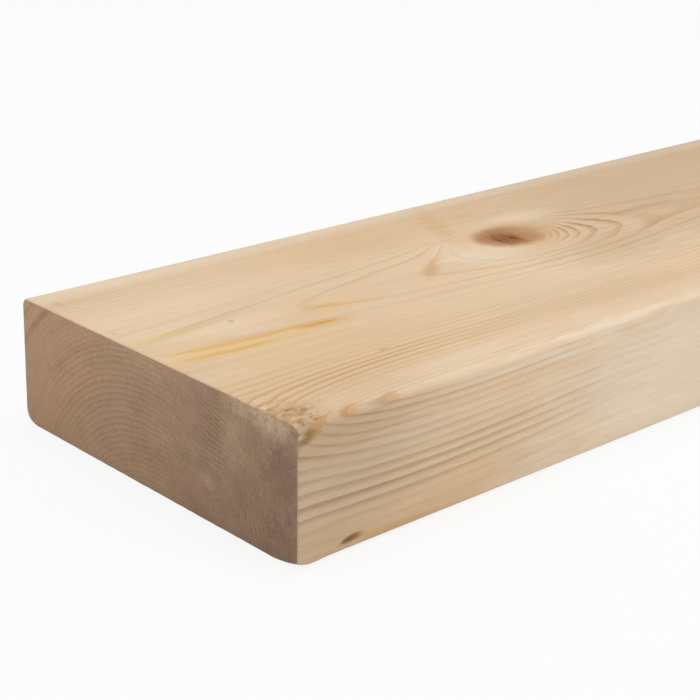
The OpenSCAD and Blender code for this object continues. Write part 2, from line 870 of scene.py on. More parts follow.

# Smudges, specks, pale lobes on the front arris that are painted highlight, and the stains of the torn
# corner
MARKS = (
    Stain(Tone.RUST, Patch((72, 73.5, 45), (14, 2.4, 3), 0.25, 0.1)),
    Stain(Tone.RUST, Patch((128, 78, 45), (10, 5, 3), 0.55, 0.75)),
    Stain(Tone.RUST, Patch((226, 77, 45), (6, 5, 3), 0.35)),
    Stain(Tone.OCHRE, Patch((171, 119, 45), (17, 13, 4), 0.5, 1.45, 0.5)),
    Stain(Tone.SPECK, Patch((40, 81, 45), (1.3, 2.4, 2), 0.4)),
    Stain(Tone.SPECK, Patch((60, 30, 45), (3, 1.1, 2), 0.4)),
    Stain(Tone.SPECK, Patch((6, 131, 45), (2, 4, 2), 0.22)),
    Stain(Tone.SPECK, Patch((4, 95, 45), (1.2, 2.6, 2), 0.2)),
    Stain(Tone.RUST, Patch((20, 1.4, 44), (5.5, 4, 2.8), 0.5, 0.3, 0.6)),
    Stain(Tone.RUST, Patch((36, 1.2, 44.2), (5.5, 3.6, 2.4), 0.5, 0.3, 0.6)),
    # Painted highlight: pale lobes along the front top arris
    Stain(Tone.ROSY, Patch((105, 1.6, 44.6), (6, 3, 1.6), 0.6, ragged=0.6)),
    Stain(Tone.PALE, Patch((116, 1.2, 44.6), (8, 3, 1.6), 0.5, ragged=0.6)),
    Stain(Tone.PALE, Patch((130, 1, 44.6), (9, 3, 1.6), 0.2, ragged=0.6)),
    Stain(Tone.PALE, Patch((161, 1, 44.6), (9, 3, 1.6), 0.55, ragged=0.6)),
    Stain(Tone.KNOT_PALE, Patch((5, 8, 45), (14, 14, 5), 0.48, ragged=0.5)),
    Stain(Tone.MOSS, Patch((3.9, 0, 41), (7.5, 3, 3.2), 0.9, ragged=0.6, climb=0.45)),
    Stain(Tone.RUST, Patch((8.2, 0.6, 43.6), (5, 4, 3.4), 0.75, ragged=0.6, climb=0.6)),
    Stain(Tone.OCHRE, Patch((38, 0, 2.4), (24, 3, 2.6), 0.6)),
    Stain(Tone.PITCH, Patch((20.5, 0, 3.8), (5.4, 3, 1.5), 0.9, ragged=0.6, climb=0.12)),
)

# Where the late wood is darker than its year makes it
BOLD = (
    Patch((20, 25, 46), (90, 9, 5), 0.32),
    Patch((15, 0, 36), (60, 5, 18), 0.22),
    Patch((206, 79, 46), (22, 17, 5), 1),
    Patch((224, 84, 46), (18, 20, 5), 0.7),
    Patch((262, 88, 46), (40, 8, 5), 0.35),
    Patch((250, 68, 46), (50, 8, 5), 0.35),
    Patch((230, 80, 46), (14, 14, 5), 0.4),
)

# Where the late wood is greyer
DULL = Patch((0, 0, 24), (110, 4, 60), 0.8)

# Where the torn corner looks crumbly
TORN = Patch((2, 10, 45), (17, 20, 5), ragged=0.5)

# Where a year darkens later, or sooner where the strength is below 0
RIDGES = (
    Patch((96, 74, 46), (80, 24, 6), 0.3),
    Patch((228, 79, 46), (11, 10, 6), 0.05),
    Patch((204, 81, 46), (24, 18, 6), -0.2),
    Patch((50, 0, 18), (130, 5, 30), -0.28),
    Patch((30, 25, 46), (60, 10, 5), -0.25),
)

# Where the late wood hardly shows
BLEACHED = (
    Patch((190, 9, 46), (165, 11, 6), 0.85, core=0.5),
    Patch((120, 43, 46), (220, 10, 6), 0.8),
    Patch((160, 24, 46), (105, 17, 6), 0.7),
    Patch((150, 124, 46), (330, 32, 6), 0.75),
    Patch((165, 96, 46), (28, 22, 6), 0.6),
    Patch((90, 76, 46), (80, 22, 6), 0.45),
    Patch((34, 24, 46), (50, 14, 6), 0.2),
    Patch((8, 75, 46), (30, 12, 6), 0.8),
    Patch((330, 0, 22), (262, 8, 200), 0.94, ragged=0.06, core=0.68),
    Patch((60, 0, 0), (200, 8, 14), 0.8, core=0.5),
    Patch((88, 0, 42.6), (44, 5, 3), 0.6),
)

# Dust and bruises on the near end
END_STAINS = (
    Stain(Tone.END_DARK, Patch((0, 7, 26), (6, 12, 18), 0.5, ragged=0.8)),
    Stain(Tone.END_PALE, Patch((0, 22, 45), (6, 16, 8), 0.32, ragged=0.5)),
    Stain(Tone.END_PALE, Patch((0, 11, 43), (6, 12, 9), 0.42, ragged=0.35)),
    Stain(Tone.END_PALE, Patch((0, 30, 31), (6, 9, 13), 0.16, ragged=0.9)),
    Stain(Tone.END_PALE, Patch((0, 42, 14), (6, 5, 4), 0.14, ragged=0.9)),
    Stain(Tone.END_PALE, Patch((0, 85, 2), (6, 52, 5), 0.08)),
    Stain(Tone.END_PALE, Patch((0, 68, 43), (6, 40, 6), 0.07)),
    Stain(Tone.END_DARK, Patch((0, 6, 8), (6, 11, 9), 0.35, ragged=0.6)),
)

# Where the saw has left the rings of the near end clear
END_CLEAR = (
    Patch((0, 90, 21), (9, 58, 44), 1, ragged=0.4),
    Patch((0, 18, 8), (9, 14, 16), 1.6, ragged=0.6),
    Patch((0, 38, 30), (9, 10, 18), 2.4, ragged=0.7),
    Patch((0, 11, 35.5), (9, 7, 6), 2.4, ragged=0.6),
)

# Where whole runs of years look dark on the near end
END_BANDS = Patch((0, 130, 38), (9, 34, 22), 0.35)

# Where the near end is crumbly under the torn corner
END_CRUMBS = Patch((0, 10, 43), (6, 20, 10), 0.5, ragged=0.5)


def stained(
    colour: bpy.types.NodeSocket,
    stains: tuple[Stain, ...],
    place: Place,
    fray: Signal,
    strand: Operand = 1.0,
) -> bpy.types.NodeSocket:
    """Lays stains over a colour, one after the other.

    Args:
        colour: The wood under the stains.
        stains: The stains.
        place: The point in the wood.
        fray: Fine unevenness for their edges.
        strand: How much of the stains shows along the fibres, from 0 to 1.

    Returns:
        The stained colour.
    """
    for stain in stains:
        colour = mixed(stain.patch.share(place, fray) * strand, colour, stain.tone)
    return colour


@dataclass(frozen=True)
class Finish:
    """What the finishes of the plank share: its sizes and the figure of its wood."""

    stock: Stock
    growth: GrowthField

    def begin(self, name: str) -> tuple[bpy.types.Material, Place]:
        """Makes a material and finds the point that is shaded.

        Args:
            name: The material's name.

        Returns:
            The material, and the shaded point in millimetres from the near corner.
        """
        material = bpy.data.materials.new(name)
        material.use_nodes = True
        tree = material.node_tree
        read = add_node(tree, "ShaderNodeTexCoord", {}).outputs["Object"]
        offset = tuple(-corner for corner in self.stock.near_corner)
        scale = (1 / MM,) * 3
        return material, Place.of_vector(vectors("MULTIPLY_ADD", Signal(tree, read), scale, offset))

    def worn(self, tree: bpy.types.NodeTree) -> Signal:
        """How deep the surface is torn at the shaded point, from 0 to 1."""
        return Signal(tree, add_node(tree, "ShaderNodeAttribute", {}, attribute_name="worn").outputs["Fac"])

    def end(self, tree: bpy.types.NodeTree, specular: float, depth: float, **feeds: object) -> None:
        """Feeds the shader.

        Args:
            tree: The material's node tree.
            specular: How strongly the surface mirrors.
            depth: How deep its fine relief is, in millimetres.
            feeds: The colour, the roughness, and the height of the relief from 0 to 1.
        """
        shader = tree.nodes["Principled BSDF"]
        inputs = {"Height": feeds["height"], "Strength": 1.0, "Distance": depth * MM}
        bump = add_node(tree, "ShaderNodeBump", inputs)
        shader.inputs["Specular IOR Level"].default_value = specular
        tree.links.new(feeds["colour"], shader.inputs["Base Color"])
        tree.links.new(feeds["roughness"].socket, shader.inputs["Roughness"])
        tree.links.new(bump.outputs["Normal"], shader.inputs["Normal"])


@dataclass(frozen=True)
class KnotWood:
    """The finish of a knot: a rim, a body that is paler ahead, and a dark cracked heart.

    Distances from its axis are in radii of the knot.

    Attributes:
        least: The least share of its radius that it keeps towards the pith.
        fray: How frayed its edge is along the fibres.
        lumpy: How lumpy its edge is.
        rim: Where the rim fades out.
        rim_ahead: How much more the rim shows ahead of the knot.
        edge: Where the body starts.
        ahead: Where along the knot its body turns paler.
        ahead_lumps: How lumpy that change is.
        heart: Where the heart fades out.
        heart_off: How far behind and beside the axis the heart lies.
        heart_shape: How much narrower than the knot the heart is, along and across.
        heart_lumps: How lumpy the heart is.
        crack: How dark the heart is in its cracks and between them.
    """

    least: float = 0.2
    fray: float = 0.12
    lumpy: float = 0.1
    rim: Ramp = Ramp(1.75, 0.95)
    rim_ahead: Ramp = Ramp(-0.8, 1.0, 0.5, 0.2)
    edge: Ramp = Ramp(1.14, 0.66, 0.95)
    ahead: Ramp = Ramp(0.0, 0.9)
    ahead_lumps: float = 0.4
    heart: Ramp = Ramp(1.0, 0.3)
    heart_off: tuple[float, float] = (0.16, 0.1)
    heart_shape: tuple[float, float] = (2.0, 1.3)
    heart_lumps: float = 0.3
    crack: Ramp = Ramp(-0.12, 0.3, 0.45, 0.5)

    def lay(
        self, colour: bpy.types.NodeSocket, knot: Knot, cut: Cut, place: Place, fray: Signal
    ) -> tuple[bpy.types.NodeSocket, Signal]:
        """Lays one knot over a colour.

        Args:
            colour: The wood around the knot.
            knot: The knot.
            cut: Where the point lies by its axis.
            place: The point in the wood.
            fray: Fine unevenness for its edge.

        Returns:
            The colour with the knot in it, and how far the point lies in its rough heart.
        """
        girth = maths("MAXIMUM", cut.share, self.least) * knot.radius
        ahead, beside = cut.ahead / girth, cut.beside / girth
        lumps = place.noise(Lumps.KNOT_LUMP)
        depth = hypotenuse(ahead, beside) + fray * self.fray + lumps * self.lumpy
        colour = mixed(self.rim.of(depth) * self.rim_ahead.of(ahead), colour, Tone.KNOT_RIM)
        body = mixed(self.ahead.of(ahead + lumps * self.ahead_lumps), Tone.KNOT, Tone.KNOT_PALE)
        colour = mixed(self.edge.of(depth), colour, body)
        ways = zip((ahead, beside), self.heart_off, self.heart_shape)
        core = hypotenuse(*((way + off) * shape for way, off, shape in ways)) + lumps * self.heart_lumps
        heart = self.heart.of(core) * self.crack.of(place.noise(Lumps.KNOT_CRACK))
        return mixed(heart, colour, Tone.KNOT_HEART), heart


@dataclass(frozen=True)
class PlanedGrain(Finish):
    """The planed faces: rings cut lengthways, knots, resin and fine fibres.

    Attributes:
        knot: The finish of the knots.
        band_years: How many years one band of warmer wood takes.
        band_seed: Fixes which years those are.
        band_share: How much the bands count beside the slow drift of tone.
        warmth: Where the wood turns from pale to warm.
        rosy: Where its mottle turns rosy.
        late_start: The share of a year after which its wood darkens.
        stray: How far the rings stray, in years.
        patchy: How much the late wood comes and goes.
        usual: How dark it usually is.
        fleck: Where the finest dark flecks show.
        fibre: How much the fibres lighten and darken the wood.
        streak: How much the long streaks do.
        veil: How much the broad clouds do.
        strand: How the resin comes and goes from strand to strand.
        dirt_and_pit_shade: Where torn places turn brown, partly as dirt and partly as painted shade that
            deepens with the pit.
        crumb: How much the crumbs of the torn corner lighten and darken it, as painted light on the raised
            crumbs and painted shade between them.
        crumb_height: How high the crumbs stand beside the fibres.
        relief: How deep the fine relief is, in millimetres.
        specular: How strongly the planed wood mirrors.
        matt: How matt it is.
        fibre_matt: How much the fibres differ in that.
        heart_matt: How much more matt the heart of a knot is.
    """

    knot: KnotWood = KnotWood()
    band_years: float = 5.0
    band_seed: float = 2.0
    band_share: float = 0.6
    warmth: Ramp = Ramp(-0.8, 0.8)
    rosy: Ramp = Ramp(0.0, 0.7, 0.5)
    late_start: float = 0.5
    stray: float = 0.2
    patchy: float = 0.8
    usual: float = 0.85
    fleck: Ramp = Ramp(0.3, 0.6, 0.28)
    fibre: float = 0.07
    streak: float = 0.04
    veil: float = 0.1
    strand: Ramp = Ramp(-0.35, 0.25, 0.5, 0.5)
    dirt_and_pit_shade: Ramp = Ramp(0.3, 0.9, 0.6)
    crumb: float = 0.3
    crumb_height: float = 9.0
    relief: float = 0.05
    specular: float = 0.25
    matt: float = 0.54
    fibre_matt: float = 0.06
    heart_matt: float = 0.4

    def build(self) -> bpy.types.Material:
        """Makes the material.

        Returns:
            The material.
        """
        material, place = self.begin("planed_grain")
        tree = material.node_tree
        wood = self.growth.figure(place)
        fray = place.noise(Lumps.STAIN_EDGE)
        fibre = place.noise(Lumps.FIBRE)
        colour = mixed(self.late(wood, fray), self.ground(wood, fray), self.late_tone(place, fray))
        colour = mixed(self.fleck.of(place.noise(Lumps.FLECK)), colour, Tone.LATE)
        shade = fibre * self.fibre + place.noise(Lumps.STREAK) * self.streak
        colour = lit(colour, shade + place.noise(Lumps.VEIL) * self.veil + 1.0)
        strand = self.strand.of(place.noise(Lumps.STRAND))
        colour = stained(colour, RESIN, place, fray, strand)
        colour = stained(colour, MARKS, place, fray)
        roughness = fibre * self.fibre_matt + self.matt
        for knot, cut in wood.cuts:
            colour, heart = self.knot.lay(colour, knot, cut, place, fray)
            roughness = roughness + heart * self.heart_matt
        # Partly dirt, partly painted shade: torn places and the pitch pocket turn darker the deeper they go
        colour = mixed(self.dirt_and_pit_shade.of(self.worn(tree)), colour, Tone.PIT_DIRT_AND_SHADE)
        crumb = place.noise(Lumps.CRUMB) * TORN.share(place, fray)
        # Painted light and shade: crumbs are lighter where their relief stands up and darker where it sinks
        colour = lit(colour, crumb * self.crumb + 1.0)
        height = fibre + crumb * self.crumb_height
        self.end(tree, self.specular, self.relief, colour=colour, roughness=roughness, height=height)
        return material

    def ground(self, wood: Figure, fray: Signal) -> bpy.types.NodeSocket:
        """The colour of the early wood, with its bands, its mottle and its broad stains.

        Args:
            wood: The figure of the wood at the shaded point.
            fray: Fine unevenness for the edges of stains.

        Returns:
            The colour.
        """
        bands = swaying(wood.rings, self.band_years, self.band_seed)
        warmth = self.warmth.of(wood.place.noise(Lumps.DRIFT) + bands * self.band_share)
        colour = mixed(warmth, Tone.EARLY, Tone.WARM)
        colour = mixed(self.rosy.of(wood.place.noise(Lumps.MOTTLE)), colour, Tone.ROSY)
        return stained(colour, GROUND, wood.place, fray)

    def late(self, wood: Figure, fray: Signal) -> Signal:
        """How much of the late wood shows, bold in some places and bleached in others.

        Args:
            wood: The figure of the wood at the shaded point.
            fray: Fine unevenness for the edges of patches.

        Returns:
            How dark it is, from 0 to 1.
        """
        place = wood.place
        contrast = wood.vigour
        for patch in BOLD:
            contrast = contrast + patch.share(place, fray)
        start = sum((ridge.share(place, fray) for ridge in RIDGES), self.late_start)
        contrast = contrast * wood.late(start, place.noise(Lumps.RING_STRAY) * self.stray)
        contrast = contrast * (place.noise(Lumps.RING_PATCHES) * self.patchy + self.usual)
        for patch in BLEACHED:
            contrast = contrast * (1.0 - patch.share(place, fray))
        return contrast

    def late_tone(self, place: Place, fray: Signal) -> bpy.types.NodeSocket:
        """The colour of the late wood, duller by the near end of the front edge."""
        return mixed(DULL.share(place, fray), Tone.LATE, Tone.LATE_DULL)


@dataclass(frozen=True)
class SawnEnd(Finish):
    """The sawn ends: rings cut across, dulled by the saw and by dust, with painted shade towards the front
    and the foot.

    Attributes:
        painted_foot_shade: How much lighter an end is painted at the top than at the foot, as painted shade
            where the floor shades its foot.
        turn: Where across the end its colour turns from the front's, darkened as painted shade, to the
            back's.
        turn_blotch: How far blotches move that turn, in millimetres.
        rose: Where the haze turns rosy.
        moss: Where the haze turns greenish.
        moss_back: How much less of that the back has.
        clear: How clear the rings are at the near end, and how much clearer at the far end.
        clear_fray: How uneven that is.
        clear_patch: How much clearer they are in the clear patches.
        late_start: The share of a year after which its wood darkens.
        stray: How far the rings stray, in years.
        stray_fray: How far they are frayed.
        breaks: How much of the rings the saw has left.
        dense: How much a year's own darkness counts in its line.
        usual: How dark a line is without it.
        band_years: How many years a dark band takes.
        band_seed: Fixes which years those are.
        band: Where a band is dark.
        band_least: How dark the bands are outside the banded patch.
        grit: How strong the grit is, and how much stronger at the front.
        smudge: How strong the smudges are, and how much stronger at the front.
        crumb: How strong the crumbs by the torn corner are.
        scratch: How strong the saw's scratches are.
        blotch: How strong the blotches are.
        dirt_and_pit_shade: Where torn places turn brown, partly as dirt and partly as painted shade that
            deepens with the pit.
        relief: How deep the fine relief is, in millimetres.
        specular: How strongly the sawn wood mirrors.
        matt: How matt it is.
        grit_matt: How much the grit differs in that.
    """

    painted_foot_shade: float = 0.17
    turn: Ramp = Ramp(0.0, 135.0)
    turn_blotch: float = 22.0
    rose: Ramp = Ramp(0.0, 0.5, 0.6)
    moss: Ramp = Ramp(0.0, -0.5, 0.6)
    moss_back: float = 0.7
    clear: tuple[float, float] = (0.1, 0.35)
    clear_fray: float = 0.1
    clear_patch: float = 0.4
    late_start: float = 0.4
    stray: float = 0.3
    stray_fray: float = 0.12
    breaks: Ramp = Ramp(-0.5, 0.4, 0.7, 0.3)
    dense: float = 0.8
    usual: float = 0.6
    band_years: float = 3.2
    band_seed: float = 11.0
    band: Ramp = Ramp(-0.1, 0.7)
    band_least: float = 0.07
    grit: tuple[float, float] = (0.14, 0.18)
    smudge: tuple[float, float] = (0.05, 0.16)
    crumb: float = 0.7
    scratch: float = 0.1
    blotch: float = 0.08
    dirt_and_pit_shade: Ramp = Ramp(0.5, 1.0, 0.2)
    relief: float = 0.2
    specular: float = 0.2
    matt: float = 0.84
    grit_matt: float = 0.08

    def build(self) -> bpy.types.Material:
        """Makes the material.

        Returns:
            The material.
        """
        material, place = self.begin("sawn_end")
        tree = material.node_tree
        wood = self.growth.figure(place)
        fray = place.noise(Lumps.END_EDGE)
        blotch = place.noise(Lumps.END_BLOTCH)
        haze = place.noise(Lumps.END_HAZE)
        # Painted shade: the end turns darker towards the front, as a light from the back would leave it
        back = self.turn.of(place.across + blotch * self.turn_blotch)
        colour = mixed(back, Tone.END_FRONT_SHADE, Tone.END_BACK)
        colour = mixed(self.rose.of(haze) * (1.0 - back), colour, Tone.END_ROSE)
        colour = mixed(self.moss.of(haze) * (1.0 - back * self.moss_back), colour, Tone.END_MOSS)
        colour = mixed(self.lines(wood, fray), colour, Tone.END_LATE)
        colour = stained(colour, END_STAINS, place, fray)

        front = 1.0 - back
        grit = place.noise(Lumps.END_GRIT)
        scratch = place.noise(Lumps.END_SCRATCH)
        crumb = place.noise(Lumps.END_CRUMB) * END_CRUMBS.share(place, fray)
        least, more = self.smudge
        smudge = place.noise(Lumps.END_SMUDGE) * (front * more + least) + crumb * self.crumb
        least, more = self.grit
        grain = grit * (front * more + least) + scratch * self.scratch + blotch * self.blotch
        # Painted shade: the end is painted darker towards its foot, where the floor shades it, and lighter
        # towards the top
        slope = (place.up / self.stock.thickness - HALF) * self.painted_foot_shade
        colour = lit(colour, grain + smudge + slope + 1.0)
        # Partly dirt, partly painted shade: torn places turn darker the deeper they go
        colour = mixed(self.dirt_and_pit_shade.of(self.worn(tree)), colour, Tone.PIT_DIRT_AND_SHADE)
        height = grit * HALF + scratch * HALF
        roughness = grit * self.grit_matt + self.matt
        self.end(tree, self.specular, self.relief, colour=colour, roughness=roughness, height=height)
        return material

    def lines(self, wood: Figure, fray: Signal) -> Signal:
        """How dark the cut rings are, clear in some places and sawn over in others.

        Args:
            wood: The figure of the wood at the shaded point.
            fray: Fine unevenness for the edges of patches.

        Returns:
            How dark they are, from 0 to 1.
        """
        place = wood.place
        near, more = self.clear
        clear = fray * self.clear_fray + near + rising(place.along, 0.0, self.stock.length) * more
        for patch in END_CLEAR:
            clear = clear + patch.share(place, fray) * self.clear_patch
        stray = place.noise(Lumps.END_STRAY) * self.stray + fray * self.stray_fray
        late = wood.late(self.late_start, stray) * (wood.vigour * self.dense + self.usual)
        lines = late * clear * self.breaks.of(place.noise(Lumps.END_BREAKS))
        bands = self.band.of(swaying(wood.rings, self.band_years, self.band_seed))
        return lines + bands * (END_BANDS.share(place, fray) + self.band_least)


@dataclass(frozen=True)
class Stretch:
    """One stretch of a graded row of cuts: how many cuts, and where the stretch ends."""

    cuts: int
    end: float


# Small holes that pulled-out fibres have left
PITS = (
    Patch((2.2, 15.5, 45), (1.6, 1.4, 2.4), 0.8),
    Patch((9.5, 9, 45), (2, 1.2, 2.4), 0.8),
    Patch((17, 10.5, 45), (3.4, 0.9, 2.4), 0.5),
    Patch((3, 2.8, 44.4), (1.9, 2.5, 2.8), 1.1),
    Patch((5.5, 20.5, 45), (2, 1, 2.4), 0.5),
    Patch((0, 24.5, 45), (1.8, 1.4, 2), 0.6),
    Patch((0, 20, 45), (1.3, 1.1, 2), 0.5),
    Patch((0, 11.5, 45), (2, 1.7, 2.4), 0.8),
    Patch((0, 8, 45), (1.4, 1.1, 2), 0.5),
    Patch((0, 5.2, 45), (1.6, 1.3, 2.2), 0.65),
)

# The torn corner itself
TEAR = Patch((0, 6, 45), (15, 22, 6), ragged=0.7, core=0.4)

# The pitch pocket at the foot of the front edge
POCKET = Patch((20.5, 0, 3.86), (5.2, 3, 1.3), ragged=0.5, climb=0.12, core=0.4)


class Side(Enum):
    """The six sides of the plank: the way each one faces, and its two ways over the map."""

    TOP = ((0, 0, 1), (1, 0, 0), (0, 1, 0))
    UNDER = ((0, 0, -1), (1, 0, 0), (0, -1, 0))
    FRONT = ((0, -1, 0), (1, 0, 0), (0, 0, 1))
    BACK = ((0, 1, 0), (1, 0, 0), (0, 0, -1))
    NEAR = ((-1, 0, 0), (0, 0, 1), (0, 1, 0))
    FAR = ((1, 0, 0), (0, 0, 1), (0, -1, 0))


@dataclass(frozen=True)
class Panel:
    """A stretch of one side, laid flat on the map.

    Attributes:
        side: The side.
        start: Where the stretch starts along the grain.
        end: Where it ends.
        corner: Its low corner on the map, in pixels.
        scale: How many pixels a millimetre gets.
    """

    side: Side
    start: float
    end: float
    corner: tuple[float, float]
    scale: float


@dataclass(frozen=True)
class MapSheet:
    """The square map of the plank, with most room for the stretch that carries the finest work.

    Attributes:
        stock: The plank's sizes.
        size: The width of the map in pixels.
        gap: The space between two panels in pixels.
        near: How much of the length the near panels take.
        near_scale: Pixels to a millimetre in the near panels.
        far_scale: Pixels to a millimetre in the far panels.
        end_scale: Pixels to a millimetre on the near end.
        far_end_scale: Pixels to a millimetre on the far end.
    """

    stock: Stock
    size: float = 1024.0
    gap: float = 7.0
    near: float = 400.0
    near_scale: float = 1.8
    far_scale: float = 0.71
    end_scale: float = 4.4
    far_end_scale: float = 1.4

    def panels(self) -> list[Panel]:
        """Lays the long sides out in rows, and the two ends beside the near rows.

        Returns:
            The panels.
        """
        stock, gap = self.stock, self.gap
        broad = {side: stock.width for side in (Side.TOP, Side.UNDER)}
        narrow = {side: stock.thickness for side in (Side.FRONT, Side.BACK)}
        near = (0.0, self.near, self.near_scale)
        far = (self.near, stock.length, self.far_scale)
        panels, row = [], gap
        for start, end, scale in (near, far):
            for side, depth in (broad | narrow).items():
                panels.append(Panel(side, start, end, (gap, row), scale))
                row += depth * scale + gap
        column = self.near * self.near_scale + 2 * gap
        panels.append(Panel(Side.NEAR, -math.inf, math.inf, (column, gap), self.end_scale))
        column += stock.thickness * self.end_scale + gap
        panels.append(Panel(Side.FAR, -math.inf, math.inf, (column, gap), self.far_end_scale))
        return panels

    def lay(self, mesh: bpy.types.Mesh) -> None:
        """Gives a mesh its map, by the place and the facing that were kept on it.

        Args:
            mesh: The plank's mesh, which loses those two marks.
        """
        corners = column_of(mesh.loops, "vertex_index", np.int32)
        counts = column_of(mesh.polygons, "loop_total", np.int32)
        owners = np.repeat(np.arange(len(counts)), counts)
        places = column_of(mesh.attributes["place"].data, "vector", np.float32, 3)[corners]
        facings = column_of(mesh.attributes["facing"].data, "vector", np.float32, 3)[owners]
        along = (np.bincount(owners, places[:, 0]) / counts)[owners]
        spots = np.zeros((len(corners), 2), np.float32)
        for panel in self.panels():
            facing, *ways = np.array(panel.side.value, np.float32)
            chosen = (facings @ facing > HALF) & (along > panel.start) & (along < panel.end)
            flat = places[chosen] @ np.stack(ways, 1)
            spots[chosen] = ((flat - flat.min(0)) * panel.scale + panel.corner) / self.size
        for name in ("place", "facing"):
            mesh.attributes.remove(mesh.attributes[name])
        layer = mesh.uv_layers.new(name=MAP_NAME, do_init=False)
        layer.uv.foreach_set("vector", spots.ravel())


def column_of(items: bpy.types.bpy_prop_collection, name: str, kind: type, width: int = 1) -> np.ndarray:
    """Reads one property of many items at once.

    Args:
        items: The items.
        name: The property.
        kind: The kind of number that it holds.
        width: How many numbers each item holds.

    Returns:
        One row for each item, or one number where the width is 1.
    """
    values = np.empty(len(items) * width, kind)
    items.foreach_get(name, values)
    return values.reshape(-1, width) if width > 1 else values


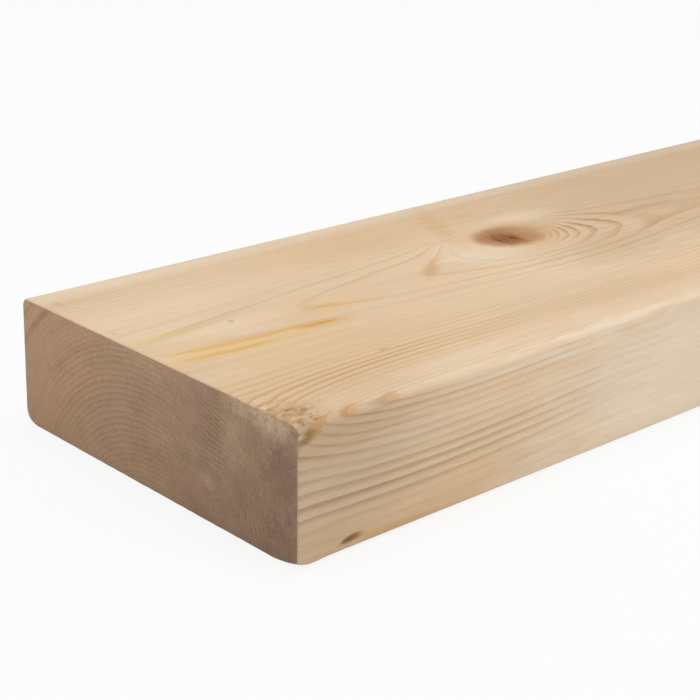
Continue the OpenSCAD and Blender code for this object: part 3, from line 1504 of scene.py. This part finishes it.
@dataclass
class PlankBlank:
    """The plank itself: planed, rounded at the arrises, torn at the near corner.

    Attributes:
        stock: The plank's sizes.
        tear_depth: How deep the torn corner goes.
        tear_way: How much of that depth goes along, across and up.
        flake: The share of that depth that one torn-off flake takes.
        spared: How many flakes' depth is passed before any wood is torn off.
        pocket_depth: How deep the pitch pocket goes.
        rim: How far the saw frays the rims of the two ends.
        rim_breaks: How uneven a rim is, and how much of the fray it usually has.
        knock: How much rounder the lower back corner of the near end is knocked.
        knock_reach: How far along the grain that goes.
        foot: The share of the knock that lifts the lower front corner, which stays sharp.
        foot_reach: How far that lift goes along, across and up.
        skew: How far the near saw cut runs in at the upper back corner.
        skew_reach: How far along the grain the wood is moved for it.
        crease: The angle between two faces from which their edge looks sharp, in degrees.
    """

    stock: Stock
    tear_depth: float = 1.3
    tear_way: Point = (0.45, 0.3, -0.85)
    flake: float = 0.3
    spared: float = 1.5
    pocket_depth: float = 0.8
    rim: float = 0.35
    rim_breaks: tuple[float, float] = (0.6, 0.7)
    knock: float = 3.0
    knock_reach: float = 7.0
    foot: float = 0.7
    foot_reach: Point = (8.5, 13.0, 9.0)
    skew: float = 0.9
    skew_reach: float = 60.0
    crease: float = 38.0

    def rows(self) -> dict[str, list[Stretch]]:
        """Where the mesh is cut each way: close at what is worked fine, wide elsewhere.

        Returns:
            The stretches along, across and up.
        """
        stock = self.stock
        along = [Stretch(2, self.rim), Stretch(42, 30.0), Stretch(34, 165.0), Stretch(42, 196.0)]
        along += [Stretch(34, 400.0), Stretch(34, stock.length - self.rim), Stretch(2, stock.length)]
        across = [Stretch(5, stock.arris), Stretch(31, 26.0), Stretch(17, 76.0), Stretch(32, 102.0)]
        across += [Stretch(12, stock.width - stock.arris), Stretch(5, stock.width)]
        up = [Stretch(5, stock.arris), Stretch(8, 8.0), Stretch(14, 33.0)]
        up += [Stretch(12, stock.thickness - stock.arris), Stretch(5, stock.thickness)]
        return {"along": along, "across": across, "up": up}

    def build(self, planed: bpy.types.Material, sawn: bpy.types.Material) -> bpy.types.Object:
        """Makes the plank with Geometry Nodes and turns it into a plain mesh.

        Args:
            planed: The finish of the long faces.
            sawn: The finish of the two ends.

        Returns:
            The finished object.
        """
        tree = bpy.data.node_groups.new("plank_blank", "GeometryNodeTree")
        sizes = {
            "Length": self.stock.length,
            "Width": self.stock.width,
            "Thickness": self.stock.thickness,
            "Arris": self.stock.arris,
            "Tear Depth": self.tear_depth,
            "Pocket Depth": self.pocket_depth,
            "Rim": self.rim,
            "Knock": self.knock,
            "Skew": self.skew,
        }
        sockets = {name: group_input(tree, name, "NodeSocketFloat") for name in sizes}
        finishes = {"Planed": planed, "Sawn": sawn}
        sockets |= {name: group_input(tree, name, "NodeSocketMaterial") for name in finishes}
        self.wire(tree, list(sizes))
        mesh = mesh_from_tree("planed_plank", tree, sockets, sizes | finishes)
        mesh.set_sharp_from_angle(angle=math.radians(self.crease))
        plank = bpy.data.objects.new("planed_plank", mesh)
        bpy.context.scene.collection.objects.link(plank)
        return plank

    def dress(self, plank: bpy.types.Object) -> None:
        """Lays the plank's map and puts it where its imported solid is.

        Args:
            plank: The finished object.
        """
        MapSheet(self.stock).lay(plank.data)
        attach(plank, "root")
        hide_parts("plank")

    def wire(self, tree: bpy.types.NodeTree, names: list[str]) -> None:
        """Fills the tree: a cut box, graded, rounded, worn, and given its finishes.

        Args:
            tree: The tree to fill.
            names: The names of its inputs for sizes.
        """
        group = tree.nodes.new("NodeGroupInput").outputs
        size = {name: Signal(tree, group[name]) for name in names}
        rows = self.rows()
        counts = [sum(part.cuts for part in row) + 1 for row in rows.values()]
        feeds = {"Size": (1.0, 1.0, 1.0)}
        feeds |= dict(zip(("Vertices X", "Vertices Y", "Vertices Z"), counts))
        box = add_node(tree, "GeometryNodeMeshCube", feeds)
        normal = Signal(tree, add_node(tree, "GeometryNodeInputNormal", {}).outputs[0])
        is_end = maths("GREATER_THAN", maths("ABSOLUTE", Place.of_vector(normal).along), HALF)
        faced = stored(tree, box.outputs["Mesh"], "facing", normal, "FLOAT_VECTOR", "FACE")
        marked = stored(tree, faced, "sawn_end", is_end, "BOOLEAN", "FACE")

        spot = Signal(tree, add_node(tree, "GeometryNodeInputPosition", {}).outputs[0])
        share = Place.of_vector(vectors("ADD", spot, (HALF, HALF, HALF)))
        along = self.graded(share.along, rows["along"])
        across = self.graded(share.across, rows["across"])
        up = self.graded(share.up, rows["up"])
        across, up = self.rounded(along, across, up, size)
        across, up = self.frayed(along, across, up, size)
        place = Place.of_vector(combined(along, across, up))
        fray = place.noise(Lumps.PIT_EDGE)
        tear, pocket = self.torn(place), POCKET.share(place, fray)
        for pit in PITS:
            tear = maths("MAXIMUM", tear, pit.share(place, fray))
        placed = stored(tree, marked, "place", place.vector, "FLOAT_VECTOR", "POINT")
        scarred = stored(tree, placed, "worn", maths("MAXIMUM", tear, pocket), "FLOAT", "POINT")
        moves = self.worn_away(place, tear, pocket, size)
        corner = vectors("MULTIPLY", combined(size["Length"], size["Width"], 0.0), (-HALF, -HALF, 0.0))
        where = vectors("ADD", vectors("ADD", place.vector, moves), corner)
        metres = vectors("MULTIPLY", where, (MM, MM, MM))
        shaped = add_node(tree, "GeometryNodeSetPosition", {"Geometry": scarred, "Position": metres})
        smooth = add_node(tree, "GeometryNodeSetShadeSmooth", {"Geometry": shaped.outputs["Geometry"]})

        real = add_node(tree, "GeometryNodeRealizeInstances", {0: smooth.outputs[0]})
        feeds = {"Geometry": real.outputs[0], "Material": group["Planed"]}
        planed = add_node(tree, "GeometryNodeSetMaterial", feeds)
        mark = add_node(tree, "GeometryNodeInputNamedAttribute", {"Name": "sawn_end"}, data_type="BOOLEAN")
        feeds = {"Geometry": planed.outputs[0], "Selection": mark.outputs[0], "Material": group["Sawn"]}
        ended = add_node(tree, "GeometryNodeSetMaterial", feeds)
        group_output(tree, ended.outputs[0])

    def worn_away(self, place: Place, tear: Signal, pocket: Signal, size: dict[str, Signal]) -> Signal:
        """How far each point is moved by wear and by the slanting saw cut.

        Args:
            place: The point.
            tear: How deep it is torn, from 0 to 1.
            pocket: How deep it lies in the pitch pocket, from 0 to 1.
            size: The plank's sizes.

        Returns:
            The move along, across and up, in millimetres.
        """
        along, across, up = place.along, place.across, place.up
        torn = [tear * size["Tear Depth"] * way for way in self.tear_way]
        reach_along, reach_across, reach_up = self.foot_reach
        close = maths("MAXIMUM", 1.0 - hypotenuse(along / reach_along, across / reach_across), 0.0)
        foot = close * close * rising(up, reach_up, 0.0) * size["Knock"] * self.foot
        slant = (across / size["Width"]) * (up / size["Thickness"])
        skew = slant * rising(along, self.skew_reach, 0.0) * size["Skew"]
        inward = pocket * size["Pocket Depth"]
        return combined(torn[0] + skew, torn[1] + inward, torn[2] + foot)

    def graded(self, share: Signal, row: list[Stretch]) -> Signal:
        """Moves evenly spaced cuts to their places in a row of stretches.

        Args:
            share: Where a cut lies in the even row, from 0 to 1.
            row: The stretches of the row.

        Returns:
            Where the cut goes, in millimetres.
        """
        total = sum(part.cuts for part in row)
        done, start, moved = 0, 0.0, share * 0.0
        for part in row:
            moved = moved + ramped(share, done / total, (done + part.cuts) / total, part.end - start)
            done, start = done + part.cuts, part.end
        return moved

    def rounded(
        self, along: Signal, across: Signal, up: Signal, size: dict[str, Signal]
    ) -> tuple[Signal, Signal]:
        """Squashes the section's square corners to quarter circles, larger at the knocked feet.

        Args:
            along: Where a point lies along the grain.
            across: Where it lies across the square section.
            up: Where it lies up the square section.
            size: The plank's sizes.

        Returns:
            The point's place across and up in the rounded section.
        """
        low = maths("LESS_THAN", up, size["Thickness"] * HALF)
        back = maths("GREATER_THAN", across, size["Width"] * HALF)
        knock = size["Knock"] * (back * (1.0 + self.foot) - self.foot)
        arris = size["Arris"] + fading(along / self.knock_reach) * low * knock
        sides = []
        for value, whole in ((across, size["Width"]), (up, size["Thickness"])):
            off = value - whole * HALF
            sides.append((maths("SIGN", off), maths("ABSOLUTE", off) - whole * HALF + arris))
        past = [maths("MAXIMUM", over, 0.0) for _, over in sides]
        squash = maths("MAXIMUM", *past) / maths("MAXIMUM", hypotenuse(*past), TINY)
        pulls = [over * (1.0 - squash) * sign for over, (sign, _) in zip(past, sides)]
        return across - pulls[0], up - pulls[1]

    def frayed(
        self, along: Signal, across: Signal, up: Signal, size: dict[str, Signal]
    ) -> tuple[Signal, Signal]:
        """Draws the rims of the two ends in a little, as the saw breaks them.

        Args:
            along: Where a point lies along the grain.
            across: Where it lies across.
            up: Where it lies up.
            size: The plank's sizes.

        Returns:
            The point's place across and up with the rims drawn in.
        """
        place = Place.of_vector(combined(along, across, up))
        nearest = maths("MINIMUM", along, size["Length"] - along)
        uneven, usual = self.rim_breaks
        broken = place.noise(Lumps.RIM_BREAKS) * uneven + usual
        pull = ramped(nearest, size["Rim"], 0.0, 1.0) * size["Rim"] * broken
        drawn = []
        for value, whole in ((across, size["Width"]), (up, size["Thickness"])):
            middle = whole * HALF
            drawn.append((value - middle) * (1.0 - pull / middle) + middle)
        return drawn[0], drawn[1]

    def torn(self, place: Place) -> Signal:
        """How deep the grain is torn out at the near top corner.

        Args:
            place: The point.

        Returns:
            The depth, from 0 to 1.
        """
        crumbs = place.noise(Lumps.TEAR_CRUMB)
        flakes = maths("SNAP", place.noise(Lumps.TEAR_FLAKE) + 1.0, self.flake) - self.flake * self.spared
        return TEAR.share(place, crumbs) * maths("MAXIMUM", flakes + crumbs * HALF, 0.0)


@dataclass
class TornFibres:
    """The loose fibres that stand in the torn corner, thin slivers along the grain.

    Attributes:
        stock: The plank's sizes.
        zone: How far the torn corner reaches along, across and down.
        clear: How far from the end, from the front edge and from the top a fibre's root keeps.
        density: How many fibres grow on a square metre at the deepest places.
        length: The length of the longest fibre.
        girth: The radius of its root.
        sides: How many sides a fibre has.
        tip: The share of its girth that is left at its tip.
        shortest: The share of that length that the shortest fibre has.
        tilt: How far fibres turn from the grain, in degrees.
        leans: The least and the most of its room that a fibre's lean takes.
        upward: How much a face has to look upwards to carry fibres.
        seed: Fixes where they stand.
    """

    stock: Stock
    zone: Point = (16.0, 24.0, 4.0)
    clear: Point = (0.3, 1.2, 0.25)
    density: float = 2400000.0
    length: float = 3.0
    girth: float = 0.2
    sides: int = 5
    tip: float = 0.15
    shortest: float = 0.35
    tilt: float = 13.0
    leans: tuple[float, float] = (-0.3, 0.9)
    upward: float = 0.3
    seed: int = 7

    def build(self, plank: bpy.types.Object, planed: bpy.types.Material) -> bpy.types.Object:
        """Grows the fibres on the plank's torn places with Geometry Nodes.

        Args:
            plank: The finished plank.
            planed: The finish of its long faces.

        Returns:
            The finished object.
        """
        tree = bpy.data.node_groups.new("torn_fibres", "GeometryNodeTree")
        group_input(tree, "Geometry", "NodeSocketGeometry")
        values = {
            "Density": self.density,
            "Fibre Length": self.length,
            "Girth": self.girth,
            "Tilt": math.radians(self.tilt),
        }
        sockets = {name: group_input(tree, name, "NodeSocketFloat") for name in values}
        sockets["Planed"] = group_input(tree, "Planed", "NodeSocketMaterial")
        self.wire(tree, list(values))
        mesh = mesh_from_tree("torn_fibres", tree, sockets, values | {"Planed": planed}, plank.data.copy())
        fibres = bpy.data.objects.new("torn_fibres", mesh)
        bpy.context.scene.collection.objects.link(fibres)
        return fibres

    def dress(self, fibres: bpy.types.Object) -> None:
        """Makes the fibres part of the plank."""
        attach(fibres, "root")

    def wire(self, tree: bpy.types.NodeTree, names: list[str]) -> None:
        """Fills the tree: points on the torn places, and a sliver under the planed face on each.

        Args:
            tree: The tree to fill.
            names: The names of its inputs for sizes.
        """
        group = tree.nodes.new("NodeGroupInput").outputs
        size = {name: Signal(tree, group[name]) for name in names}
        corner = tuple(-part for part in self.stock.near_corner)
        spot = Signal(tree, add_node(tree, "GeometryNodeInputPosition", {}).outputs[0])
        place = Place.of_vector(vectors("MULTIPLY_ADD", spot, (1 / MM,) * 3, corner))
        sunk = self.stock.thickness - place.up
        normal = Signal(tree, add_node(tree, "GeometryNodeInputNormal", {}).outputs[0])
        upward = maths("GREATER_THAN", Place.of_vector(normal).up, self.upward)
        worn = add_node(tree, "GeometryNodeInputNamedAttribute", {"Name": "worn"}).outputs[0]
        feeds = {
            "Mesh": group["Geometry"],
            "Density": upward * Signal(tree, worn) * size["Density"],
            "Seed": self.seed,
        }
        points = add_node(tree, "GeometryNodeDistributePointsOnFaces", feeds)
        inside = 1.0
        for value, least, most in zip((place.along, place.across, sunk), self.clear, self.zone):
            inside = inside * maths("GREATER_THAN", value, least) * maths("LESS_THAN", value, most)
        feeds = {
            "Vertices": self.sides,
            "Side Segments": 1,
            "Radius Top": size["Girth"] * (self.tip * MM),
            "Radius Bottom": size["Girth"] * MM,
            "Depth": size["Fibre Length"] * MM,
        }
        sliver = add_node(tree, "GeometryNodeMeshCone", feeds)
        room = maths("MINIMUM", (sunk - self.clear[2]) / size["Fibre Length"], size["Tilt"])
        lean = math.pi / 2 - room * self.drawn(tree, *self.leans, 1)
        feeds = {
            "Points": points.outputs["Points"],
            "Selection": inside,
            "Instance": sliver.outputs["Mesh"],
            "Rotation": combined(0.0, lean, self.drawn(tree, -size["Tilt"], size["Tilt"], 2)),
            "Scale": self.drawn(tree, self.shortest, 1.0, 3),
        }
        grown = add_node(tree, "GeometryNodeInstanceOnPoints", feeds)
        real = add_node(tree, "GeometryNodeRealizeInstances", {0: grown.outputs[0]})
        clean = add_node(tree, "GeometryNodeRemoveAttribute", {"Geometry": real.outputs[0], "Name": "worn"})
        feeds = {"Geometry": clean.outputs[0], "Material": group["Planed"]}
        group_output(tree, add_node(tree, "GeometryNodeSetMaterial", feeds).outputs[0])

    def drawn(self, tree: bpy.types.NodeTree, low: Operand, high: Operand, turn: int) -> Signal:
        """Draws a number for each fibre, the same in each run.

        Args:
            tree: The geometry tree.
            low: The least that the number may be.
            high: The most that it may be.
            turn: Keeps one draw apart from another.

        Returns:
            The number.
        """
        feeds = {2: low, 3: high, "Seed": self.seed + turn}
        node = add_node(tree, "FunctionNodeRandomValue", feeds, data_type="FLOAT")
        return Signal(tree, node.outputs[1])


def stored(
    tree: bpy.types.NodeTree,
    geometry: bpy.types.NodeSocket,
    name: str,
    value: Signal,
    kind: str,
    domain: str,
) -> bpy.types.NodeSocket:
    """Keeps a value on a geometry under a name.

    Args:
        tree: The geometry tree.
        geometry: The geometry that gets the value.
        name: The name to keep it under.
        value: The value.
        kind: Blender's name for the kind of value.
        domain: What carries it, points or faces.

    Returns:
        The geometry with the value.
    """
    feeds = {"Geometry": geometry, "Name": name, "Value": value}
    node = add_node(tree, "GeometryNodeStoreNamedAttribute", feeds, data_type=kind, domain=domain)
    return node.outputs["Geometry"]


def group_input(tree: bpy.types.NodeTree, name: str, kind: str) -> str:
    """Adds a named input to a tree and returns its identifier."""
    return tree.interface.new_socket(name=name, in_out="INPUT", socket_type=kind).identifier


def group_output(tree: bpy.types.NodeTree, geometry: bpy.types.NodeSocket) -> None:
    """Sends a geometry out of a tree."""
    tree.interface.new_socket(name="Geometry", in_out="OUTPUT", socket_type="NodeSocketGeometry")
    add_node(tree, "NodeGroupOutput", {0: geometry})


def mesh_from_tree(
    name: str, tree: bpy.types.NodeTree, sockets: dict, values: dict, start: bpy.types.Mesh | None = None
) -> bpy.types.Mesh:
    """Runs a geometry tree once and keeps its result as a plain mesh.

    Args:
        name: The name for the mesh.
        tree: The tree to run.
        sockets: Each input's identifier, by its name.
        values: Each input's value, by its name.
        start: The mesh that the tree works on, where it doesn't make its own.

    Returns:
        The plain mesh.
    """
    carrier = bpy.data.objects.new(name, start or bpy.data.meshes.new(name))
    bpy.context.scene.collection.objects.link(carrier)
    modifier = carrier.modifiers.new(name, "NODES")
    modifier.node_group = tree
    for key, value in values.items():
        modifier[sockets[key]] = value
    graph = bpy.context.evaluated_depsgraph_get()
    mesh = bpy.data.meshes.new_from_object(carrier.evaluated_get(graph))
    carrier.modifiers.remove(modifier)
    bpy.data.objects.remove(carrier)
    return mesh


def looked_at(tree: bpy.types.NodeTree) -> Signal:
    """Tells what is seen from light that only falls on things.

    Args:
        tree: The tree that asks.

    Returns:
        1 for what is seen straight, in a mirror or through a pane, and 0 for the rest.
    """
    path = add_node(tree, "ShaderNodeLightPath", {}).outputs
    straight, mirrored, through = (
        Signal(tree, path[name]) for name in ("Is Camera Ray", "Is Glossy Ray", "Is Transmission Ray")
    )
    return maths("MAXIMUM", maths("MAXIMUM", straight, mirrored), through)


@dataclass(frozen=True)
class PaleFloor:
    """The finish of the studio floor, which looks nearly white and still takes the shadow.

    Attributes:
        shade: How much light it sends back.
        white: The share of plain white in what is seen of it near the plank.
        blend: How many metres from the plank it starts to turn plain white, and is so altogether.
        roughness: How matt it is.
    """

    shade: float = 0.86
    white: float = 0.86
    blend: tuple[float, float] = (1.5, 3.5)
    roughness: float = 0.9

    def build(self) -> bpy.types.Material:
        """Makes the material.

        Returns:
            The material.
        """
        material = bpy.data.materials.new("pale_floor")
        material.use_nodes = True
        tree = material.node_tree
        shader = tree.nodes["Principled BSDF"]
        shader.inputs["Base Color"].default_value = (self.shade, self.shade, self.shade, 1.0)
        shader.inputs["Roughness"].default_value = self.roughness
        glow = add_node(tree, "ShaderNodeEmission", {"Strength": 1.0})
        read = Signal(tree, add_node(tree, "ShaderNodeTexCoord", {}).outputs["Object"])
        white = rising(vectors("LENGTH", read), *self.blend) * (1.0 - self.white) + self.white
        feeds = {0: looked_at(tree) * white, 1: shader.outputs[0], 2: glow.outputs[0]}
        mix = add_node(tree, "ShaderNodeMixShader", feeds)
        tree.links.new(mix.outputs[0], tree.nodes["Material Output"].inputs["Surface"])
        return material


@dataclass(frozen=True)
class Viewpoint:
    """Where the camera stands and how it looks.

    Attributes:
        stand: Its place from the near end's lower front corner, in millimetres.
        heading: How far it turns to the right of straight across the plank, in degrees.
        dip: How far it looks down, in degrees.
        roll: How far it leans to its side, in degrees.
        lens: The length of its lens, in millimetres.
        sensor: The width of its picture behind the lens, in millimetres.
    """

    stand: Point = (-272.9, -321.6, 225.0)
    heading: float = 42.23
    dip: float = 20.44
    roll: float = 0.79
    lens: float = 85.13
    sensor: float = 36.0


@dataclass(frozen=True)
class Lamp:
    """One large soft lamp: its place and aim in metres, its size and its power."""

    name: str
    place: Point
    aim: Point
    size: float
    power: float


@dataclass
class Studio:
    """The pale floor, the soft lamps and the camera.

    Attributes:
        stock: The plank's sizes.
        view: Where the camera stands.
        floor_half: How far the floor reaches each way, in metres.
        ambient: How strong the even light of the room is.
    """

    stock: Stock
    view: Viewpoint
    floor_half: float = 40.0
    ambient: float = 0.5

    def build(self) -> None:
        """Sets everything up around the plank."""
        bpy.context.scene.view_settings.view_transform = "Standard"
        self.lay_floor()
        self.set_world()
        near = -self.stock.length / 2 * MM
        lamps = (
            Lamp("overhead", (near + 0.1, 0.0, 2.0), (near + 0.1, 0.0, 0.0), 1.6, 19.0),
            Lamp("front_fill", (near + 1.6, -2.2, 0.9), (near + 0.3, 0.0, 0.0), 1.6, 15.0),
        )
        for lamp in lamps:
            self.hang(lamp)
        self.set_camera()

    def lay_floor(self) -> None:
        """Lays the floor under everything."""
        half = self.floor_half
        mesh = bpy.data.meshes.new("floor")
        corners = [(-half, -half, 0.0), (half, -half, 0.0), (half, half, 0.0), (-half, half, 0.0)]
        mesh.from_pydata(corners, [], [(0, 1, 2, 3)])
        floor = bpy.data.objects.new("floor", mesh)
        bpy.context.scene.collection.objects.link(floor)
        mesh.materials.append(PaleFloor().build())

    def set_world(self) -> None:
        """Lights the room evenly, and shows white behind the floor."""
        world = bpy.data.worlds.new("studio")
        bpy.context.scene.world = world
        world.use_nodes = True
        tree = world.node_tree
        strength = looked_at(tree) * (1.0 - self.ambient) + self.ambient
        back = tree.nodes["Background"]
        back.inputs["Color"].default_value = (1.0, 1.0, 1.0, 1.0)
        tree.links.new(strength.socket, back.inputs["Strength"])

    def hang(self, lamp: Lamp) -> None:
        """Hangs one soft lamp and turns it to its aim.

        Args:
            lamp: The lamp.
        """
        data = bpy.data.lights.new(lamp.name, "AREA")
        data.shape = "DISK"
        data.size = lamp.size
        data.energy = lamp.power
        light = bpy.data.objects.new(lamp.name, data)
        light.location = lamp.place
        light.rotation_euler = (Vector(lamp.aim) - Vector(lamp.place)).to_track_quat("-Z", "Y").to_euler()
        bpy.context.scene.collection.objects.link(light)

    def set_camera(self) -> None:
        """Stands the camera where the photograph was taken from."""
        view = self.view
        data = bpy.data.cameras.new("camera")
        data.sensor_width = view.sensor
        data.lens = view.lens
        camera = bpy.data.objects.new("camera", data)
        stand = Vector(self.stock.near_corner) + Vector(view.stand)
        turn = Matrix.Rotation(math.radians(-view.heading), 4, "Z")
        turn @= Matrix.Rotation(math.radians(90.0 - view.dip), 4, "X")
        turn @= Matrix.Rotation(math.radians(view.roll), 4, "Z")
        camera.matrix_world = Matrix.Translation(stand * MM) @ turn
        bpy.context.scene.collection.objects.link(camera)
        bpy.context.scene.camera = camera


def main() -> None:
    """Builds the plank, its finishes and the studio."""
    logging.basicConfig(level=logging.INFO, format="%(name)s: %(message)s")
    stock = Stock.packed()
    growth = GrowthField(stock, (EYE, FRONT_BRANCH), (TORN_BRANCH, EYE_NOSE, EYE_TIP), Whorls(), YEARS)
    planed = PlanedGrain(stock, growth).build()
    sawn = SawnEnd(stock, growth).build()

    blank = PlankBlank(stock)
    plank = blank.build(planed, sawn)
    blank.dress(plank)
    LOG.info("%s: %d faces", plank.name, len(plank.data.polygons))

    corner_fibres = TornFibres(stock)
    fibres = corner_fibres.build(plank, planed)
    corner_fibres.dress(fibres)
    LOG.info("%s: %d faces", fibres.name, len(fibres.data.polygons))

    Studio(stock, Viewpoint()).build()


if __name__ == "__main__":
    main()
